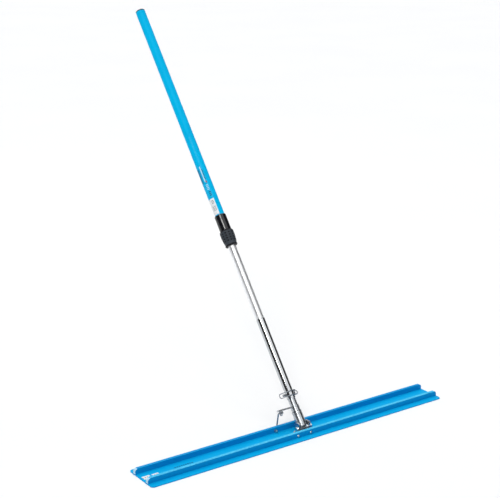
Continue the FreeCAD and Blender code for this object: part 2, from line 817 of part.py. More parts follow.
def make_lock_pin():
    """The wire-lock pin: a shank across the tube, a drilled head and a pull ring."""
    shank = turned("lock_pin_shank", [
        ("0", "0"),
        ("lock_pin_radius - 1.5", "0"),
        ("lock_pin_radius", "2.5"),
        ("lock_pin_radius", "lock_pin_tip + chrome_radius + 0.4"),
        ("lock_pin_radius + 1", "lock_pin_tip + chrome_radius + 0.4"),
        ("lock_pin_radius + 1", "lock_pin_tip + lock_pin_head - 0.6"),
        ("lock_pin_radius + 0.4", "lock_pin_tip + lock_pin_head"),
        ("0", "lock_pin_tip + lock_pin_head")])
    place_across_pole(shank, "-lock_pin_tip", "lock_pin_station")
    ring = doc.addObject("Part::Torus", "lock_pin_ring")
    bind(ring, Radius1="pull_ring_radius", Radius2="bail_wire_radius")
    place_on_pole(ring, "lock_pin_station")
    ring.Placement.Rotation = LEAN.multiply(Rotation(Vector(1, 0, 0), 90))
    ring.setExpression("Placement.Rotation.Angle", None)
    bind_path(ring, "Placement.Base.x", "lock_pin_head + pull_ring_radius - bail_wire_radius / 2")
    joined = doc.addObject("Part::Fuse", "lock_pin_joined")
    joined.Base = shank
    joined.Tool = ring
    hole = doc.addObject("Part::Cylinder", "lock_pin_eye")
    bind(hole, Radius="bail_wire_radius + running_gap", Height="20")
    place_on_pole(hole, "lock_pin_station - 10")
    bind_path(hole, "Placement.Base.x", "bail_hinge_along")
    pin = doc.addObject("Part::Cut", "lock_pin")
    pin.Base = joined
    pin.Tool = hole
    finish(pin, "lock_pin")


def make_pin_bail():
    """The spring-wire bail: hinged in the pin's head, over the tube and round the pin's tip."""
    half = size("bail_half_width")
    hinge = size("bail_hinge_along")
    clear = size("chrome_radius + 3.6")
    end = size("bail_end")
    inner = size("lock_pin_radius") * 0.7
    one_leg = [
        Vector(hinge, 0, inner),
        Vector(hinge, 0, half),
        Vector(hinge, -clear * 0.72, half),
        Vector(hinge * 0.4, -clear, half),
        Vector(-hinge * 0.5, -clear, half),
        Vector(-end * 0.93, -1.5, half)]
    closed_end = [Vector(-end, -0.6, half * 0.45), Vector(-end, -0.6, -half * 0.45)]
    other_leg = [Vector(point.x, point.y, -point.z) for point in reversed(one_leg)]
    bail = doc.addObject("Part::Feature", "pin_bail")
    bail.Shape = bent_rod_shape(one_leg + closed_end + other_leg, size("bail_wire_radius"), 1.6)
    place_on_pole(bail, "lock_pin_station")
    finish(bail, "pin_bail")


# ---------------------------------------------------------------- telescopic tubes

def make_inner_tube():
    """The aluminium inner tube, its lower end necked to fit inside the chrome tube."""
    neck = "chrome_bore - 0.05"
    top = "neck_length + inner_length"
    tube_body = turned("inner_tube", [
        ("inner_bore", "0"),
        (neck, "0"),
        (neck, "neck_length"),
        ("inner_radius", "neck_length + 0.7"),
        ("inner_radius", top),
        ("inner_bore", top)])
    place_on_pole(tube_body, "chrome_top - neck_length")
    finish(drill_for_rivets(tube_body, "inner_tube"), "inner_tube")


def make_guide_plug():
    """The plastic guide on the inner tube's upper end, running in the outer tube."""
    body = turned("guide_plug", [
        ("inner_bore - 2", "0"),
        ("inner_bore", "0"),
        ("inner_bore", "guide_length * 0.6"),
        ("outer_bore - running_gap - 1", "guide_length * 0.6"),
        ("outer_bore - running_gap", "guide_length * 0.6 + 1"),
        ("outer_bore - running_gap", "guide_length - 1"),
        ("outer_bore - running_gap - 1", "guide_length"),
        ("inner_bore - 2", "guide_length")])
    place_on_pole(body, "chrome_top + inner_length - guide_length * 0.6")
    finish(body, "guide_plug")


def make_tube_rivets():
    """Two blind rivets at the back that hold the necked tube in the chrome tube."""
    rivets = []
    for number in (0, 1):
        rivet = turned("tube_rivet_%d" % number, [
            ("0", "0"),
            ("rivet_radius", "0"),
            ("rivet_radius", "chrome_radius - inner_bore + 1"),
            ("rivet_radius * 2", "chrome_radius - inner_bore + 1"),
            ("rivet_radius * 1.5", "chrome_radius - inner_bore + 1.8"),
            ("0", "chrome_radius - inner_bore + 1.8")])
        place_behind_pole(rivet, "rivet_top - %d * rivet_spacing" % number, "inner_bore - 0.9")
        rivets.append(rivet)
    group("tube_rivets", rivets)


def place_behind_pole(item, station, reach):
    """Puts an object behind the pole's axis at a station, its own +Z pointing away at the back."""
    item.Placement.Rotation = LEAN.multiply(Rotation(Vector(1, 0, 0), -90))
    bind_path(item, "Placement.Base.y",
              "(%s - pole_tip) * %s + (%s) * %s" % (station, SIN_LEAN, reach, COS_LEAN))
    bind_path(item, "Placement.Base.z",
              "(%s - pole_tip) * %s - (%s) * %s" % (station, COS_LEAN, reach, SIN_LEAN))


def drill_for_rivets(item, name):
    """Cuts the rivets' holes through the back wall of a tube on the pole."""
    drills = []
    for number in (0, 1):
        drill = doc.addObject("Part::Cylinder", "%s_rivet_drill_%d" % (name, number))
        bind(drill, Radius="rivet_radius + running_gap", Height="10")
        place_behind_pole(drill, "rivet_top - %d * rivet_spacing" % number, "inner_bore - 2")
        drills.append(drill)
    both = doc.addObject("Part::Compound", name + "_rivet_drills")
    both.Links = drills
    drilled = doc.addObject("Part::Cut", name + "_riveted")
    drilled.Base = item
    drilled.Tool = both
    return drilled


def make_outer_tube():
    """The painted outer tube that the hands hold."""
    body = tube("outer_tube", "outer_bore", "outer_radius", "pole_tip - outer_bottom")
    place_on_pole(body, "outer_bottom")
    finish(body, "outer_tube")


def make_end_cap():
    """The plastic plug in the outer tube's upper end."""
    body = turned("end_cap", [
        ("outer_bore - 2.5", "0"),
        ("outer_bore", "0"),
        ("outer_bore", "cap_plug"),
        ("cap_radius", "cap_plug"),
        ("cap_radius", "cap_plug + cap_rim - 1.5"),
        ("cap_radius - 1.5", "cap_plug + cap_rim"),
        ("0", "cap_plug + cap_rim"),
        ("0", "cap_plug - 1"),
        ("outer_bore - 2.5", "cap_plug - 1")])
    place_on_pole(body, "pole_tip - cap_plug")
    finish(body, "end_cap")


def make_pole_label():
    """The label on the left side of the outer tube, above the twist lock."""
    body = new_body("pole_label")
    sketch = new_sketch(body, "label_profile", "XZ_Plane")
    outside = "-outer_radius - label_thickness"
    height = "label_top - label_bottom"
    draw_outline(sketch, [
        (outside, "0"),
        ("-outer_radius", "0"),
        ("-outer_radius", height),
        (outside, height)])
    wrap = revolve(body, sketch)
    wrap.Midplane = True
    bind(wrap, Angle="label_wrap")
    place_on_pole(body, "label_bottom")
    finish(body, "pole_label")


# ---------------------------------------------------------------- twist lock

def make_lock_sleeve():
    """The plastic sleeve on the outer tube's end, with a threaded neck inside the nut."""
    shoulder = "nut_top + 0.6 - neck_bottom"
    top = "sleeve_top - neck_bottom"
    seat = "outer_bottom - neck_bottom"
    body = turned("lock_sleeve", [
        ("collet_radius + 0.4", "0"),
        ("neck_radius", "0"),
        ("neck_radius", shoulder),
        ("sleeve_radius - 0.8", shoulder),
        ("sleeve_radius", "(%s) + 0.8" % shoulder),
        ("sleeve_radius", "(%s) - 2" % top),
        ("sleeve_radius - 1.4", top),
        ("outer_radius", top),
        ("outer_radius", seat),
        ("inner_radius + 0.4", seat),
        ("inner_radius + 0.4", "(%s) - 3" % seat),
        ("collet_radius + 0.4", "(%s) - 6" % seat)])
    place_on_pole(body, "neck_bottom")
    finish(body, "lock_sleeve")


def make_collet():
    """The tapered, slit collet that the nut squeezes on the inner tube."""
    length = "neck_bottom + 22 - collet_bottom"
    blank = turned("collet_blank", [
        ("inner_radius + running_gap", "0"),
        ("collet_radius - 1.5", "0"),
        ("collet_radius", "9"),
        ("collet_radius", length),
        ("inner_radius + running_gap", length)])
    place_on_pole(blank, "collet_bottom")
    slit = doc.addObject("Part::Box", "collet_slit")
    bind(slit, Length="3", Width="40", Height="(%s) - 6" % length)
    place_on_pole(slit, "collet_bottom")
    bind_path(slit, "Placement.Base.x", "-1.5")
    collet = doc.addObject("Part::Cut", "collet")
    collet.Base = blank
    collet.Tool = slit
    finish(collet, "collet")


def make_lock_nut():
    """The twist nut: a shouldered, tapering grip with shallow grooves and a rolled lower lip."""
    height = "nut_top - nut_bottom"
    body = turned("lock_nut", [
        ("inner_radius + 0.5", "0"),
        ("nut_radius * 0.8", "0"),
        ("nut_radius * 0.87", "1.5"),
        ("nut_radius * 0.88", "4.5"),
        ("nut_radius * 0.85", "7"),
        ("nut_radius * 0.85", "9"),
        ("nut_radius * 0.93", "18"),
        ("nut_radius", "36"),
        ("nut_radius", "(%s) - 6" % height),
        ("nut_radius * 0.96", "(%s) - 2.5" % height),
        ("nut_radius * 0.86", height),
        ("neck_radius + 0.3", height),
        ("neck_radius + 0.3", "14"),
        ("collet_radius + 0.3", "12"),
        ("collet_radius - 1", "7"),
        ("inner_radius + 0.5", "6")])
    groove = new_sketch(body, "grip_groove", "YZ_Plane")
    draw_outline(groove, [
        ("nut_radius * 0.93 - grip_depth", "18"),
        ("nut_radius - grip_depth", "36"),
        ("nut_radius - grip_depth", "(%s) - 9" % height),
        ("nut_radius + 2", "(%s) - 9" % height),
        ("nut_radius + 2", "18")])
    groove_cut = cut(body, groove, "grip_width", both_ways=True)
    pattern = body.newObject("PartDesign::PolarPattern", "grip_grooves_pattern")
    pattern.Originals = [groove_cut]
    pattern.Axis = (plane_of(body, "Z_Axis"), [""])
    pattern.Angle = 360
    pattern.Occurrences = int(size("grip_grooves"))
    body.Tip = pattern
    place_on_pole(body, "nut_bottom")
    finish(body, "lock_nut")


# ---------------------------------------------------------------- the whole tool

def make_everything():
    make_float_blade()
    make_clevis_bracket()
    make_bracket_fasteners()
    make_pivot_bolt()
    make_pivot_nut()
    make_pivot_washers()
    make_tilt_post()
    make_post_foot()
    make_post_fasteners()
    make_hook_clip()
    make_blade_stickers()
    make_pivot_barrel()
    make_bearing_tube()
    make_bushes()
    make_swivel_shaft()
    make_shaft_retainer()
    make_shaft_collar()
    make_crank_arm()
    make_arm_lug()
    make_chrome_tube()
    make_lock_pin()
    make_pin_bail()
    make_inner_tube()
    make_guide_plug()
    make_tube_rivets()
    make_outer_tube()
    make_end_cap()
    make_pole_label()
    make_lock_sleeve()
    make_collet()
    make_lock_nut()


def check_document():
    """Stops the run if any object failed to build or any sub-part's shape is bad."""
    doc.recompute()
    for item in doc.Objects:
        if "Invalid" in item.State or "Error" in item.State:
            raise RuntimeError("%s did not build: %s" % (item.Name, item.State))
    for item in nodes:
        if item.Shape.isNull() or not item.Shape.isValid() or not item.Shape.Solids:
            raise RuntimeError(item.Label + " has a bad shape")


def write_parts():
    """Writes each sub-part to its own file."""
    os.makedirs("parts", exist_ok=True)
    for item in nodes:
        item.Shape.exportStep("parts/%s.step" % item.Label)
        box = item.Shape.BoundBox
        print("%-18s solids %2d volume %10.1f  x %.1f..%.1f  y %.1f..%.1f  z %.1f..%.1f" % (
            item.Label, len(item.Shape.Solids), item.Shape.Volume,
            box.XMin, box.XMax, box.YMin, box.YMax, box.ZMin, box.ZMax))


fill_sheet()
make_everything()
check_document()
write_parts()
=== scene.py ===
"""Looks of the concrete float: materials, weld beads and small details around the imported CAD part."""
import json
import math

import bmesh
import bpy
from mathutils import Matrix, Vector


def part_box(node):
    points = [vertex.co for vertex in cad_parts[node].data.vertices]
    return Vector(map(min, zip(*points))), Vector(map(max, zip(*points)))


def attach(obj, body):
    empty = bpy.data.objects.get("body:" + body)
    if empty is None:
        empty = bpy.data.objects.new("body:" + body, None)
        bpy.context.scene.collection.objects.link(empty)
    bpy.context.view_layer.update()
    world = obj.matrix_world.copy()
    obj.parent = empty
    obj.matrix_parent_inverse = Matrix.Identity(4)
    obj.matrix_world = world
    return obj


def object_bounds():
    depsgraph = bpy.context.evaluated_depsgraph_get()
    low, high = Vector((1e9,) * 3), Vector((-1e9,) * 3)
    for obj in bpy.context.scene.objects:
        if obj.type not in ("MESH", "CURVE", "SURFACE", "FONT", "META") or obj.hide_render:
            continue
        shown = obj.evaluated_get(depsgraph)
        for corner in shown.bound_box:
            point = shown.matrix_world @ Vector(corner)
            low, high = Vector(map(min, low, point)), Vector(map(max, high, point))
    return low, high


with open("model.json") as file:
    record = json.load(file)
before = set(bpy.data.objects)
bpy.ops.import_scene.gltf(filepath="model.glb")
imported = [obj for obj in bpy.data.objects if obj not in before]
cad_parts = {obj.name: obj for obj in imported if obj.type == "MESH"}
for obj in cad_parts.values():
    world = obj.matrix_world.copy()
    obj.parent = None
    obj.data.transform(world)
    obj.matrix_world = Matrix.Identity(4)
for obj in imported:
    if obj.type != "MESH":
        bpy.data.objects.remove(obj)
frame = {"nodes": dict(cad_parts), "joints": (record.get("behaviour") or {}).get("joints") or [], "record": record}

CAD_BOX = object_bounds()
JOINTS = {joint["name"]: joint for joint in frame["joints"]}

# The part's own places: the pivot, the pole's axis and the middle of the blade's working face.
PIVOT = Vector(JOINTS["pole_twist"]["pos_m"])
POLE_UP = Vector(JOINTS["pole_twist"]["axis"]).normalized()
LEAN = math.atan2(POLE_UP.y, POLE_UP.z)
POLE_FRONT = Vector((0, -math.cos(LEAN), math.sin(LEAN)))
BLADE_LOW, BLADE_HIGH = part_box("float_blade")
BLADE = Vector(((BLADE_LOW.x + BLADE_HIGH.x) / 2, (BLADE_LOW.y + BLADE_HIGH.y) / 2, BLADE_LOW.z))


def on_pole(station, across=0.0, front=0.0):
    """A point at a distance above the pivot, moved along the blade and to the pole's front."""
    return PIVOT + POLE_UP * station + Vector((across, 0, 0)) + POLE_FRONT * front


# ---------------------------------------------------------------- material helpers

class Material:
    """A node material with a Principled shader, and short ways of adding nodes to it."""

    def __init__(self, name, colour, roughness, metallic=0.0):
        self.material = bpy.data.materials.new(name)
        self.material.use_nodes = True
        self.nodes = self.material.node_tree.nodes
        self.links = self.material.node_tree.links
        self.shader = self.nodes["Principled BSDF"]
        self.shader.inputs["Metallic"].default_value = metallic
        self.colour = self.solid(colour)
        self.roughness = roughness
        self.heights = []

    def node(self, kind, **settings):
        made = self.nodes.new(kind)
        for name, value in settings.items():
            setattr(made, name, value)
        return made

    def solid(self, colour):
        made = self.node("ShaderNodeRGB")
        made.outputs[0].default_value = (*colour, 1)
        return made.outputs[0]

    def place(self, along_pole=False, stretch=(1, 1, 1)):
        """Coordinates in metres fixed to the part, turned so that Z runs along the pole if asked."""
        coordinates = self.node("ShaderNodeTexCoord").outputs["Object"]
        if along_pole:
            turn = self.node("ShaderNodeMapping")
            turn.inputs["Rotation"].default_value = (LEAN, 0, 0)
            self.links.new(coordinates, turn.inputs["Vector"])
            coordinates = turn.outputs["Vector"]
        scale = self.node("ShaderNodeMapping")
        scale.inputs["Scale"].default_value = stretch
        self.links.new(coordinates, scale.inputs["Vector"])
        return scale.outputs["Vector"]

    def noise(self, place, scale, detail=3.0, roughness=0.55):
        made = self.node("ShaderNodeTexNoise")
        made.inputs["Scale"].default_value = scale
        made.inputs["Detail"].default_value = detail
        made.inputs["Roughness"].default_value = roughness
        self.links.new(place, made.inputs["Vector"])
        return made.outputs["Fac"]

    def ramp(self, value, low, high, bottom=0.0, top=1.0):
        """Maps low..high to bottom..top, smoothly, and holds it outside."""
        made = self.node("ShaderNodeMapRange", interpolation_type="SMOOTHSTEP")
        for name, number in (("From Min", low), ("From Max", high), ("To Min", bottom), ("To Max", top)):
            made.inputs[name].default_value = number
        self.links.new(value, made.inputs["Value"])
        return made.outputs["Result"]

    def maths(self, operation, first, second=None):
        made = self.node("ShaderNodeMath", operation=operation)
        for socket, value in zip(made.inputs, (first, second)):
            if value is None:
                continue
            if isinstance(value, (int, float)):
                socket.default_value = value
            else:
                self.links.new(value, socket)
        return made.outputs[0]

    def tint(self, amount, colour):
        """Mixes another colour over the present one, by an amount from 0 to 1."""
        made = self.node("ShaderNodeMix", data_type="RGBA")
        self.links.new(amount, made.inputs["Factor"])
        self.links.new(self.colour, made.inputs[6])
        made.inputs[7].default_value = (*colour, 1)
        self.colour = made.outputs[2]

    def vary_roughness(self, value, low, high):
        made = self.ramp(value, 0.3, 0.7, low, high)
        self.links.new(made, self.shader.inputs["Roughness"])
        self.roughness = None

    def bump(self, height, distance):
        """Adds a bump of the given depth in metres."""
        self.heights.append((height, distance))

    def done(self):
        self.links.new(self.colour, self.shader.inputs["Base Color"])
        if self.roughness is not None:
            self.shader.inputs["Roughness"].default_value = self.roughness
        normal = None
        for height, distance in self.heights:
            bump = self.node("ShaderNodeBump")
            bump.inputs["Strength"].default_value = 1.0
            bump.inputs["Distance"].default_value = distance
            self.links.new(height, bump.inputs["Height"])
            if normal is not None:
                self.links.new(normal, bump.inputs["Normal"])
            normal = bump.outputs["Normal"]
        if normal is not None:
            self.links.new(normal, self.shader.inputs["Normal"])
        return self.material

    def axis(self, place, letter):
        split = self.node("ShaderNodeSeparateXYZ")
        self.links.new(place, split.inputs[0])
        return split.outputs[letter]

    def box_mask(self, place, limits, edge=0.0004):
        """1 inside the given ranges of x, y or z and 0 outside, with a narrow soft edge."""
        mask = None
        for letter, (low, high) in limits.items():
            value = self.axis(place, letter)
            inside = self.maths(
                "MULTIPLY",
                self.ramp(value, low - edge, low + edge),
                self.ramp(value, high - edge, high + edge, 1.0, 0.0))
            mask = inside if mask is None else self.maths("MULTIPLY", mask, inside)
        return mask


def tone(red, green, blue):
    """A colour given as 0..255 screen values, in the linear numbers that shaders use."""
    def linear(value):
        share = value / 255
        return share / 12.92 if share <= 0.04045 else ((share + 0.055) / 1.055) ** 2.4
    return linear(red), linear(green), linear(blue)


# ---------------------------------------------------------------- materials

INK = tone(24, 52, 84)
PALE_BLUE = tone(84, 200, 240)
TUBE_BLUE = tone(4, 182, 234)
PRINT_GREY = tone(84, 92, 100)
PRINT_WHITE = tone(222, 240, 248)
PAINT_SPECULAR = 0.04
RIB_TOP_DEPTH = 0.003
RIB_END_RADIUS = 0.011
TROUGH_FLOOR = BLADE.z + 0.003
PRINT_DASH = 0.0078
# the lock nut's grip: dashes in each ring round the pole, the step from ring to ring, and the
# stations in millimetres of the ringed stretch and of the two ends that carry painted shade
GRIP_DASHES = 12
GRIP_RING_STEP = 0.0096
GRIP_STATIONS = (692, 735)
NUT_PAINTED_SHADE_ENDS = ((679, 686), (735, 742))


def blade_paint():
    """Blue coating on the blade: painted light on faces that point up, drawing streaks, painted highlights on the
    near rib's top and the rib ends, and a row of print.
    """
    paint = Material("blade_paint_look", tone(4, 149, 214), 0.4)
    paint.shader.inputs["Specular IOR Level"].default_value = PAINT_SPECULAR
    flat = paint.place()
    normal = paint.node("ShaderNodeNewGeometry").outputs["True Normal"]
    # painted light: faces that point up, below the rib tops, are tinted a lighter blue as if lit from above
    painted_light_on_upward_faces = paint.ramp(paint.axis(normal, "Z"), 0.3, 0.9)
    below_rib_tops = paint.ramp(
        paint.axis(flat, "Z"), BLADE_HIGH.z - RIB_TOP_DEPTH - 0.0020, BLADE_HIGH.z - RIB_TOP_DEPTH, 1.0, 0.0)
    paint.tint(paint.maths("MULTIPLY", painted_light_on_upward_faces, below_rib_tops), tone(4, 168, 226))
    streaks = paint.noise(paint.place(stretch=(1, 30, 30)), 14, 4)
    paint.tint(paint.ramp(streaks, 0.4, 0.8, 0, 0.22), tone(4, 138, 204))
    clouds = paint.noise(flat, 11, 4)
    paint.tint(paint.ramp(clouds, 0.45, 0.8, 0, 0.12), tone(10, 170, 232))
    # painted highlight: a pale line along the rib tops, full strength on the near rib and faint on the far rib,
    # broken up by noise
    highlight_noise = paint.noise(flat, 160, 2)
    top = paint.ramp(paint.axis(flat, "Z"), BLADE_HIGH.z - 0.0009, BLADE_HIGH.z - 0.0002)
    near = paint.ramp(paint.axis(flat, "Y"), BLADE.y, BLADE.y + 0.001, 1.0, 0.05)
    wear_and_highlight = paint.maths("MULTIPLY", near, paint.ramp(highlight_noise, 0.2, 0.7, 0.4, 1.0))
    paint.tint(paint.maths("MULTIPLY", top, wear_and_highlight), PALE_BLUE)
    # painted highlight: near-white arcs on the rims of the rounded rib ends at the left, broken up by the same
    # noise
    paint.tint(paint.maths("MULTIPLY", rib_end(paint, flat), paint.ramp(highlight_noise, 0.2, 0.7, 0.5, 0.9)),
               tone(206, 238, 250))
    print_rows(paint, flat)
    paint.vary_roughness(clouds, 0.34, 0.5)
    paint.bump(paint.noise(flat, 900, 2), 0.00004)
    paint.bump(streaks, 0.00006)
    return paint.done()


def rib_end(paint, flat):
    """1 on the rims of the rounded rib ends at the blade's left, where a near-white painted highlight goes."""
    along = paint.maths("SUBTRACT", paint.axis(flat, "X"), BLADE_LOW.x + RIB_END_RADIUS)
    up = paint.maths("SUBTRACT", paint.axis(flat, "Z"), BLADE_HIGH.z - RIB_END_RADIUS)
    reach = paint.maths("SQRT", paint.maths(
        "ADD", paint.maths("MULTIPLY", along, along), paint.maths("MULTIPLY", up, up)))
    outside = paint.ramp(reach, RIB_END_RADIUS - 0.0010, RIB_END_RADIUS - 0.0004)
    left = paint.ramp(along, -0.0035, -0.0025, 1.0, 0.0)
    above = paint.ramp(paint.axis(flat, "Z"), TROUGH_FLOOR + 0.0005, TROUGH_FLOOR + 0.0015)
    return paint.maths("MULTIPLY", paint.maths("MULTIPLY", outside, left), above)


def print_rows(paint, flat):
    """Two rows of plain dashes printed on the trough's floor."""
    dashes = paint.maths("FRACT", paint.maths("MULTIPLY", paint.axis(flat, "X"), 1 / PRINT_DASH))
    dash = paint.ramp(dashes, 0.36, 0.46)
    for left, right, near, far in ((-0.478, -0.404, 0.000, 0.007), (-0.470, -0.425, -0.010, -0.006)):
        row = paint.box_mask(flat, {
            "X": (BLADE.x + left, BLADE.x + right),
            "Y": (BLADE.y + near, BLADE.y + far),
            "Z": (TROUGH_FLOOR - 0.0005, TROUGH_FLOOR + 0.0005)})
        paint.tint(paint.maths("MULTIPLY", paint.maths("MULTIPLY", row, dash), 0.75), INK)


def tube_paint():
    """Glossy blue coating on the outer tube, with faint scuffs and plain print bars."""
    paint = Material("tube_paint_look", tone(2, 187, 240), 0.3)
    paint.shader.inputs["Specular IOR Level"].default_value = PAINT_SPECULAR
    pole = paint.place(along_pole=True)
    scuffs = paint.noise(paint.place(along_pole=True, stretch=(1, 1, 0.05)), 420, 3)
    paint.tint(paint.ramp(scuffs, 0.55, 0.8, 0, 0.15), tone(60, 196, 238))
    clouds = paint.noise(pole, 16, 3)
    paint.tint(paint.ramp(clouds, 0.4, 0.8, 0, 0.2), tone(6, 158, 214))
    dots = paint.noise(paint.place(along_pole=True, stretch=(1, 1, 0.4)), 900, 1)
    speckle = paint.box_mask(pole, {
        "X": (-0.0125, -0.0075),
        "Y": (-0.0180, 0.0),
        "Z": (station_height(1008), station_height(1115))})
    paint.tint(paint.maths("MULTIPLY", speckle, paint.ramp(dots, 0.45, 0.6, 0, 0.5)), PALE_BLUE)
    paint.vary_roughness(clouds, 0.26, 0.4)
    paint.bump(paint.noise(pole, 700, 2), 0.00003)
    return paint.done()


def station_height(station):
    """Where a pole station in millimetres lies on the Z of coordinates turned along the pole."""
    return on_pole(station / 1000).dot(POLE_UP)


def zinc_steel():
    """Zinc-plated steel: spangled grey with fine scratches and duller patches."""
    steel = Material("zinc_steel_look", tone(196, 201, 205), 0.28, metallic=0.95)
    place = steel.place()
    patches = steel.noise(place, 120, 4)
    steel.tint(steel.ramp(patches, 0.42, 0.7, 0, 0.5), tone(150, 156, 162))
    steel.vary_roughness(patches, 0.15, 0.32)
    steel.bump(steel.noise(place, 1500, 2), 0.00002)
    steel.bump(steel.noise(steel.place(stretch=(1, 1, 0.1)), 2600, 1), 0.00001)
    return steel.done()


def bare_steel():
    """Drawn spring steel: darker grey, with lines along the wire and dull brown-grey spots."""
    steel = Material("bare_steel_look", tone(138, 143, 149), 0.26, metallic=1.0)
    place = steel.place()
    spots = steel.noise(place, 260, 4)
    steel.tint(steel.ramp(spots, 0.5, 0.75, 0, 0.6), tone(96, 96, 97))
    steel.vary_roughness(spots, 0.2, 0.4)
    steel.bump(steel.noise(place, 1900, 2), 0.00001)
    return steel.done()


def bright_chrome():
    """Polished chrome: a clean mirror with hairline wipe marks along the tube."""
    chrome = Material("bright_chrome_look", tone(194, 197, 200), 0.07, metallic=1.0)
    pole = chrome.place(along_pole=True)
    hairlines = chrome.noise(chrome.place(along_pole=True, stretch=(1, 1, 0.01)), 2400, 2)
    smears = chrome.noise(pole, 45, 3)
    chrome.tint(chrome.ramp(smears, 0.5, 0.8, 0, 0.3), tone(170, 174, 180))
    chrome.vary_roughness(smears, 0.03, 0.08)
    chrome.bump(hairlines, 0.000004)
    return chrome.done()


def satin_aluminium():
    """Anodised aluminium: fine drawing lines along the tube and faint rub rings from the lock."""
    metal = Material("satin_aluminium_look", tone(240, 241, 243), 0.3, metallic=0.85)
    pole = metal.place(along_pole=True)
    lines = metal.noise(metal.place(along_pole=True, stretch=(1, 1, 0.008)), 1800, 3)
    metal.tint(metal.ramp(lines, 0.45, 0.75, 0, 0.3), tone(214, 218, 222))
    rings = metal.noise(metal.place(along_pole=True, stretch=(0.05, 0.05, 1)), 130, 3)
    metal.tint(metal.ramp(rings, 0.6, 0.8, 0, 0.25), tone(196, 201, 206))
    metal.vary_roughness(metal.noise(pole, 30, 3), 0.28, 0.42)
    metal.bump(lines, 0.000012)
    return metal.done()


def plastic(name, colour, wear_and_highlight, grain, roughness, specular=0.4, grip=False):
    """Moulded plastic: fine grain, a slight sheen change and paler rubbed spots.

    With grip set, dark dashes sit in rings round the pole's axis, and painted shade darkens both ends of the nut.
    """
    made = Material(name, colour, roughness)
    made.shader.inputs["Specular IOR Level"].default_value = specular
    place = made.place()
    patches = made.noise(place, 70, 4)
    made.tint(made.ramp(patches, 0.5, 0.8, 0, 0.5), wear_and_highlight)
    made.vary_roughness(patches, roughness - 0.06, roughness + 0.1)
    made.bump(made.noise(place, grain, 2), 0.00005)
    if grip:
        pole = made.place(along_pole=True)
        turn = made.maths("ARCTAN2", made.axis(pole, "Y"), made.axis(pole, "X"))
        round_pole = made.maths("FRACT", made.maths("MULTIPLY", turn, GRIP_DASHES / math.tau))
        along_pole = made.maths("FRACT", made.maths("MULTIPLY", made.axis(pole, "Z"), 1 / GRIP_RING_STEP))
        dash = made.maths("MULTIPLY", middle_of(made, round_pole), middle_of(made, along_pole))
        low, high = (station_height(station) for station in GRIP_STATIONS)
        dash = made.maths("MULTIPLY", dash, made.box_mask(pole, {"Z": (low, high)}))
        made.tint(made.maths("MULTIPLY", dash, 0.95), tone(8, 9, 12))
        made.bump(made.maths("SUBTRACT", 1.0, dash), 0.0004)
        # painted shade: a dark band at each end of the nut, a painted shadow where it meets the sleeve above and
        # painted shade in its lower rim
        for low, high in NUT_PAINTED_SHADE_ENDS:
            end = made.box_mask(pole, {"Z": (station_height(low), station_height(high))}, 0.0008)
            made.tint(made.maths("MULTIPLY", end, 0.9), tone(12, 13, 17))
    return made.done()


def middle_of(material, share):
    """0 at both ends of a 0..1 share and 1 over its middle half."""
    return material.maths("MULTIPLY", material.ramp(share, 0.2, 0.32), material.ramp(share, 0.68, 0.8, 1, 0))


def label_film():
    """Printed film: the pole label is white at its foot and blue above, and the blade stickers are white.

    The print is plain bars and blocks only.
    """
    film = Material("label_film_look", tone(236, 240, 243), 0.32)
    film.shader.inputs["Specular IOR Level"].default_value = 0.12
    pole = film.place(along_pole=True)
    flat = film.place()
    on_tube = film.ramp(film.axis(flat, "Z"), TROUGH_FLOOR + 0.003, TROUGH_FLOOR + 0.005)

    def print_block(colour, strength, stations, across, rows=None):
        """Prints a block between two stations, as rows of bars if a row height is given."""
        block = film.box_mask(pole, {
            "Y": across,
            "Z": (station_height(stations[0]), station_height(stations[1]))})
        if rows:
            steps = film.maths("FRACT", film.maths("MULTIPLY", film.axis(pole, "Z"), 1 / rows))
            block = film.maths("MULTIPLY", block, film.ramp(steps, 0.45, 0.55))
        film.tint(film.maths("MULTIPLY", film.maths("MULTIPLY", block, on_tube), strength), colour)

    everywhere = (-0.03, 0.03)
    print_block(TUBE_BLUE, 1.0, (866, 1010), everywhere)
    print_block(tone(22, 122, 168), 0.85, (930, 986), (-0.0050, 0.0110))
    print_block(PRINT_WHITE, 0.85, (932, 994), (-0.0124, -0.0100))
    print_block(INK, 0.85, (942, 982), (-0.0158, -0.0132), 0.0055)
    print_block(tone(150, 70, 52), 0.8, (928, 936), (-0.0156, -0.0124))
    print_block(tone(206, 236, 246), 0.7, (898, 924), (-0.0152, -0.0090), 0.0060)
    print_block(INK, 0.9, (875, 894), (-0.0155, -0.0100), 0.0065)
    print_block(PRINT_GREY, 0.75, (844, 860), (-0.0135, -0.0060), 0.0050)
    print_block(PRINT_GREY, 0.65, (818, 838), (-0.0145, -0.0010), 0.0045)
    sticker_bar = 0.0085
    bars = film.maths("FRACT", film.maths("MULTIPLY", film.axis(flat, "X"), 1 / sticker_bar))
    middle_row = film.box_mask(flat, {"Y": (BLADE.y - 0.0085, BLADE.y + 0.0015)})
    on_blade = film.maths("MULTIPLY", film.maths("SUBTRACT", 1.0, on_tube), middle_row)
    film.tint(
        film.maths("MULTIPLY", on_blade, film.ramp(bars, 0.4, 0.46, 0, 0.6)),
        tone(150, 96, 96))
    film.vary_roughness(film.noise(flat, 60, 2), 0.28, 0.42)
    film.bump(film.noise(flat, 1200, 1), 0.00001)
    return film.done()


